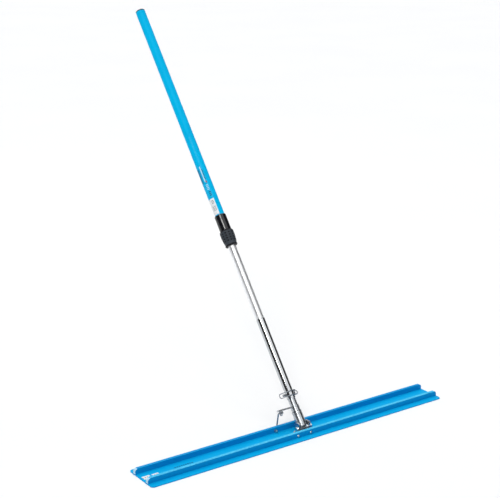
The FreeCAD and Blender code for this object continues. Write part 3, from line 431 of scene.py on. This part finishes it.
def give_materials():
    """Puts one look on every CAD node, by the finish its record slot names."""
    looks = {
        "blade_paint": blade_paint(),
        "tube_paint": tube_paint(),
        "zinc_steel": zinc_steel(),
        "bare_steel": bare_steel(),
        "bright_chrome": bright_chrome(),
        "satin_aluminium": satin_aluminium(),
        "black_plastic": plastic("black_plastic_look", tone(14, 15, 20), tone(26, 28, 33), 2200, 0.12, 0.55),
        "grey_plastic": plastic(
            "grey_plastic_look", tone(56, 62, 69), tone(80, 87, 94), 1600, 0.5, 0.2, grip=True),
        "bearing_plastic": plastic("bearing_plastic_look", tone(44, 46, 48), tone(70, 72, 76), 1800, 0.45),
        "label_film": label_film(),
    }
    for subpart in frame["record"]["subparts"]:
        materials = frame["nodes"][subpart["node"]].data.materials
        materials.clear()
        materials.append(looks[subpart["material_slot"]])
    return looks


# ---------------------------------------------------------------- small details in mesh

def keep_piece(name, mesh, body, material, smooth=True):
    """Makes a mesh a piece that rides on a body and takes its finish from a record slot."""
    piece = bpy.data.objects.new(name, mesh)
    bpy.context.scene.collection.objects.link(piece)
    mesh.materials.append(material)
    for face in mesh.polygons:
        face.use_smooth = smooth
    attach(piece, body)
    return piece


def swept_mesh(name, path, radius_at, sides=10):
    """A closed rod along a list of points; radius_at gives its radius at each share of the points."""
    mesh = bpy.data.meshes.new(name)
    made = bmesh.new()
    rings = []
    side = Vector((0.3, 0.5, 0.8))
    for number, point in enumerate(path):
        ahead = path[min(number + 1, len(path) - 1)] - path[max(number - 1, 0)]
        ahead.normalize()
        side = (side - ahead * side.dot(ahead)).normalized()
        other = ahead.cross(side)
        radius = radius_at(number / (len(path) - 1))
        ring = []
        for step in range(sides):
            angle = math.tau * step / sides
            ring.append(made.verts.new(point + (side * math.cos(angle) + other * math.sin(angle)) * radius))
        rings.append(ring)
    for first, second in zip(rings, rings[1:]):
        for step in range(sides):
            after = (step + 1) % sides
            made.faces.new((first[step], first[after], second[after], second[step]))
    made.faces.new(list(reversed(rings[0])))
    made.faces.new(rings[-1])
    bmesh.ops.recalc_face_normals(made, faces=made.faces)
    made.to_mesh(mesh)
    made.free()
    return mesh


def weld_bead(name, body, path, radius, material):
    """A rippled weld bead along a path: overlapping drops that taper at both ends."""
    length = sum((second - first).length for first, second in zip(path, path[1:]))
    drops = max(3, round(length / (radius * 1.3)))
    steps = drops * 8
    fine = [point_along(path, step / steps) for step in range(steps + 1)]

    def radius_at(share):
        ripple = 0.86 + 0.14 * abs(math.sin(math.pi * drops * share))
        end = min(1.0, share * drops + 0.35, (1 - share) * drops + 0.35)
        return radius * ripple * end

    return keep_piece(name, swept_mesh(name, fine, radius_at), body, material)


def point_along(path, share):
    """The point at a share of a broken line's points, counted evenly from corner to corner."""
    place = share * (len(path) - 1)
    number = min(int(place), len(path) - 2)
    return path[number].lerp(path[number + 1], place - number)


def thread(name, body, start, axis, radius, pitch, length, material):
    """A thread on a bolt's free end: one ridge that climbs round the shank."""
    axis = axis.normalized()
    side = axis.orthogonal().normalized()
    other = axis.cross(side)
    per_turn = 20
    steps = int(length / pitch * per_turn)
    path = []
    for step in range(steps + 1):
        angle = math.tau * step / per_turn
        out = side * math.cos(angle) + other * math.sin(angle)
        path.append(start + axis * (pitch * step / per_turn) + out * radius)
    mesh = swept_mesh(name, path, lambda share: pitch * 0.3, sides=5)
    return keep_piece(name, mesh, body, material)


# Sizes of the head that its welds follow, in metres; stations are distances above the pivot.
ARM_BOTTOM = 0.0735
ARM_HALF_WIDTH = 0.0052
LUG_HALF_WIDTH = 0.0045
SADDLE_STATION = 0.0050
BARREL_RADIUS = 0.007
BASE_TOP = BLADE.z + 0.0062
WEB_BACK = BLADE.y - 0.029
EAR_HALF_GAP = 0.0185
POST_FROM_FOOT_END = 0.0060
POST_WELD_OFFSET = 0.0019
# Threads: the ridge's radius on the two bolt sizes, and the pitches.
SMALL_BOLT_RADIUS = 0.0029
SMALL_BOLT_PITCH = 0.0007
SMALL_BOLT_HEAD_RADIUS = 0.0052
PIVOT_BOLT_RADIUS = 0.0049
PIVOT_BOLT_PITCH = 0.0009


def add_arm_welds(steel):
    """Beads on both sides of the crank arm's end, and along both faces of its slotted lug."""
    arm_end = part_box("crank_arm")[1].x - 0.0002
    for side, name in ((1, "front"), (-1, "back")):
        weld_bead("arm_weld_" + name, "inner_pole", [
            on_pole(ARM_BOTTOM - 0.0004, arm_end, side * ARM_HALF_WIDTH),
            on_pole(ARM_BOTTOM + 0.0054, arm_end, side * ARM_HALF_WIDTH)], 0.0011, steel)
    lug_faces = [corner.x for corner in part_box("arm_lug")]
    for across, name in zip(lug_faces, ("left", "right")):
        weld_bead("lug_weld_" + name, "inner_pole", [
            on_pole(ARM_BOTTOM - 0.0002, across, -LUG_HALF_WIDTH),
            on_pole(ARM_BOTTOM - 0.0002, across, LUG_HALF_WIDTH)], 0.0008, steel)


def add_saddle_welds(steel):
    """Beads where the bearing tube sits on the pivot barrel: along the barrel and over its ends."""
    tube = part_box("bearing_tube")[1].x
    for side, name in ((1, "front"), (-1, "back")):
        weld_bead("saddle_weld_" + name, "knuckle", [
            on_pole(SADDLE_STATION, -tube * 0.93, side * 0.0056),
            on_pole(SADDLE_STATION, tube * 0.93, side * 0.0056)], 0.0013, steel)
        over = []
        for step in range(9):
            front = 0.0052 * (step / 4 - 1)
            across = side * (math.sqrt(tube ** 2 - front ** 2) + 0.0002)
            over.append(on_pole(math.sqrt(BARREL_RADIUS ** 2 - front ** 2) + 0.0004, across, front))
        weld_bead("saddle_weld_end_" + name, "knuckle", over, 0.0012, steel)


def add_bracket_welds(steel):
    """Beads from the clevis ears to their base plate and web, and from the tilt post to its foot."""
    for side, name in ((-1, "left"), (1, "right")):
        across = PIVOT.x + side * (EAR_HALF_GAP - 0.0002)
        weld_bead("ear_weld_" + name, "blade", [
            Vector((across, WEB_BACK + 0.0095, BASE_TOP)),
            Vector((across, BLADE.y - 0.003, BASE_TOP))], 0.0011, steel)
        weld_bead("web_weld_" + name, "blade", [
            Vector((across, WEB_BACK + 0.0002, BASE_TOP - 0.0017)),
            Vector((across, WEB_BACK + 0.0002, BASE_TOP + 0.0038))], 0.0010, steel)
    foot_low, foot_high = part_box("post_foot")
    post_x = foot_high.x - POST_FROM_FOOT_END
    for side, name in ((-1, "left"), (1, "right")):
        across = post_x + side * POST_WELD_OFFSET
        weld_bead("foot_weld_" + name, "blade", [
            Vector((across, foot_high.y + 0.0002, foot_low.z + 0.001)),
            Vector((across, foot_high.y + 0.0002, foot_high.z - 0.0005))], 0.0009, steel)


def add_threads(steel):
    """Threads on the free ends of the bracket bolts, the pivot bolt and the post's bolt."""
    low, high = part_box("bracket_bolts")
    left, right = low.x + SMALL_BOLT_HEAD_RADIUS, high.x - SMALL_BOLT_HEAD_RADIUS
    for across, name in ((left, "left"), (right, "right")):
        start = Vector((across, high.y - 0.0021, (low.z + high.z) / 2))
        thread("bracket_thread_" + name, "blade", start, Vector((0, 1, 0)),
               SMALL_BOLT_RADIUS, SMALL_BOLT_PITCH, 0.0014, steel)
    start = Vector((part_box("pivot_bolt")[1].x - 0.0030, PIVOT.y, PIVOT.z))
    thread("pivot_thread", "blade", start, Vector((1, 0, 0)),
           PIVOT_BOLT_RADIUS, PIVOT_BOLT_PITCH, 0.0020, steel)
    low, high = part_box("post_bolt")
    middle = (low + high) / 2
    start = Vector((middle.x, low.y + 0.0024, middle.z))
    thread("post_thread", "blade", start, Vector((0, -1, 0)),
           SMALL_BOLT_RADIUS, SMALL_BOLT_PITCH, 0.0016, steel)


def add_head_details(steel):
    """Weld beads on the head's welded joints and threads on the bolts' free ends."""
    add_arm_welds(steel)
    add_saddle_welds(steel)
    add_bracket_welds(steel)
    add_threads(steel)


# ---------------------------------------------------------------- floor, light and camera

def add_floor():
    """A wide, pale, slightly uneven floor under the blade."""
    mesh = bpy.data.meshes.new("floor")
    half = 40
    corners = [(x * half, y * half, 0) for x, y in ((-1, -1), (1, -1), (1, 1), (-1, 1))]
    mesh.from_pydata(corners, [], [(0, 1, 2, 3)])
    floor = bpy.data.objects.new("floor", mesh)
    floor.location = (BLADE.x, BLADE.y, BLADE.z)
    bpy.context.scene.collection.objects.link(floor)
    pale = Material("floor_look", tone(246, 247, 248), 0.85)
    pale.shader.inputs["Specular IOR Level"].default_value = 0.1
    pale.tint(pale.ramp(pale.noise(pale.place(), 0.8, 2), 0.3, 0.7, 0, 0.4), tone(243, 244, 246))
    mesh.materials.append(pale.done())


# Brightness of the walls round the object, by heading: 0 and 1 are towards -Y, 0.25 towards -X,
# 0.5 towards +Y and 0.75 towards +X.
WALL_TONES = [(0.0, 0.2), (0.1, 0.2), (0.18, 0.02), (0.36, 0.02), (0.44, 0.4), (0.6, 0.4), (0.7, 0.02),
              (0.84, 0.02), (0.92, 0.2)]
# The sky overhead has a narrow grey gap towards -Y and a wide dark one between -Y and +X, like the
# edges between three softboxes.
SKY_TONES = [(0.0, 0.45), (0.018, 0.45), (0.035, 1.0), (0.775, 1.0), (0.795, 0.04), (0.88, 0.04), (0.9, 1.0),
             (0.965, 1.0), (0.982, 0.45)]
SKY_BRIGHTNESS = 1.66
BACKDROP_TONE = 0.97
# The walls give way to the sky between these heights of the looking direction.
WALL_TOP = 0.58
SKY_BOTTOM = 0.70


def add_world():
    """Soft white light from above, with low walls that are dark at the left and right of the object."""
    world = bpy.data.worlds.new("studio")
    world.use_nodes = True
    bpy.context.scene.world = world
    nodes = world.node_tree.nodes
    links = world.node_tree.links
    background = nodes["Background"]
    background.inputs["Strength"].default_value = SKY_BRIGHTNESS
    split = nodes.new("ShaderNodeSeparateXYZ")
    links.new(nodes.new("ShaderNodeTexCoord").outputs["Generated"], split.inputs[0])
    heading = nodes.new("ShaderNodeMath")
    heading.operation = "ARCTAN2"
    links.new(split.outputs["X"], heading.inputs[0])
    links.new(split.outputs["Y"], heading.inputs[1])
    turn = nodes.new("ShaderNodeMapRange")
    turn.inputs["From Min"].default_value = -math.pi
    turn.inputs["From Max"].default_value = math.pi
    links.new(heading.outputs[0], turn.inputs["Value"])
    ramps = []
    for tones, blend in ((WALL_TONES, "B_SPLINE"), (SKY_TONES, "LINEAR")):
        ramp = nodes.new("ShaderNodeValToRGB")
        ramp.color_ramp.interpolation = blend
        links.new(turn.outputs["Result"], ramp.inputs["Fac"])
        fill_ramp(ramp.color_ramp, tones)
        ramps.append(ramp)
    above = nodes.new("ShaderNodeMapRange")
    above.inputs["From Min"].default_value = WALL_TOP
    above.inputs["From Max"].default_value = SKY_BOTTOM
    links.new(split.outputs["Z"], above.inputs["Value"])
    mix = nodes.new("ShaderNodeMix")
    mix.data_type = "RGBA"
    links.new(above.outputs["Result"], mix.inputs["Factor"])
    for ramp, socket in zip(ramps, (mix.inputs[6], mix.inputs[7])):
        links.new(ramp.outputs["Color"], socket)
    # seen directly, the world is a plain pale backdrop; only light and reflections see the walls
    backdrop = nodes.new("ShaderNodeMix")
    backdrop.data_type = "RGBA"
    links.new(nodes.new("ShaderNodeLightPath").outputs["Is Camera Ray"], backdrop.inputs["Factor"])
    links.new(mix.outputs[2], backdrop.inputs[6])
    backdrop.inputs[7].default_value = (*[BACKDROP_TONE / SKY_BRIGHTNESS] * 3, 1)
    links.new(backdrop.outputs[2], background.inputs["Color"])


def fill_ramp(ramp, tones):
    """Sets a colour ramp to grey tones at the given places."""
    while len(ramp.elements) > 1:
        ramp.elements.remove(ramp.elements[-1])
    ramp.elements[0].position = tones[0][0]
    ramp.elements[0].color = (*[tones[0][1]] * 3, 1)
    for place, bright in tones[1:]:
        ramp.elements.new(place).color = (bright, bright, bright, 1)


def add_area_light(name, place, aim, size, watts, colour=(1, 1, 1)):
    """A large soft light at a place, aimed at a point."""
    data = bpy.data.lights.new(name, "AREA")
    data.shape = "DISK"
    data.size = size
    data.energy = watts
    data.color = colour
    light = bpy.data.objects.new(name, data)
    light.location = place
    light.rotation_euler = (place - aim).to_track_quat("Z", "Y").to_euler()
    bpy.context.scene.collection.objects.link(light)


def add_sun(name, towards, strength, spread, colour):
    """A light from far away in one direction, with soft edges to its shadows."""
    data = bpy.data.lights.new(name, "SUN")
    data.energy = strength
    data.angle = math.radians(spread)
    data.color = colour
    light = bpy.data.objects.new(name, data)
    light.rotation_euler = towards.to_track_quat("Z", "Y").to_euler()
    bpy.context.scene.collection.objects.link(light)


def add_lights():
    """A soft key high at the front left and a weak light behind."""
    centre = (CAD_BOX[0] + CAD_BOX[1]) / 2
    add_sun("key", Vector((-0.553, -0.457, 0.697)), 0.6, 13, (1, 0.99, 0.97))
    add_area_light("back", centre + Vector((0.5, 3.4, 2.8)), centre, 2.4, 4)


CAMERA_AZIMUTH = math.radians(-35.09)
CAMERA_ELEVATION = math.radians(15.94)
CAMERA_FROM_BLADE = Vector((-2.2445, -2.9277, 1.6927))


def add_camera():
    """The camera: 35 degrees to the left of the blade's front and looking 16 degrees down."""
    data = bpy.data.cameras.new("camera")
    data.sensor_width = 36
    data.lens = 86
    camera = bpy.data.objects.new("camera", data)
    back = Vector((
        math.sin(CAMERA_AZIMUTH) * math.cos(CAMERA_ELEVATION),
        -math.cos(CAMERA_AZIMUTH) * math.cos(CAMERA_ELEVATION),
        math.sin(CAMERA_ELEVATION)))
    camera.location = BLADE + CAMERA_FROM_BLADE
    camera.rotation_mode = "QUATERNION"
    camera.rotation_quaternion = back.to_track_quat("Z", "Y")
    bpy.context.scene.collection.objects.link(camera)
    bpy.context.scene.camera = camera


looks = give_materials()
add_head_details(looks["zinc_steel"])
add_floor()
add_world()
add_lights()
add_camera()
bpy.context.scene.view_settings.view_transform = "Standard"
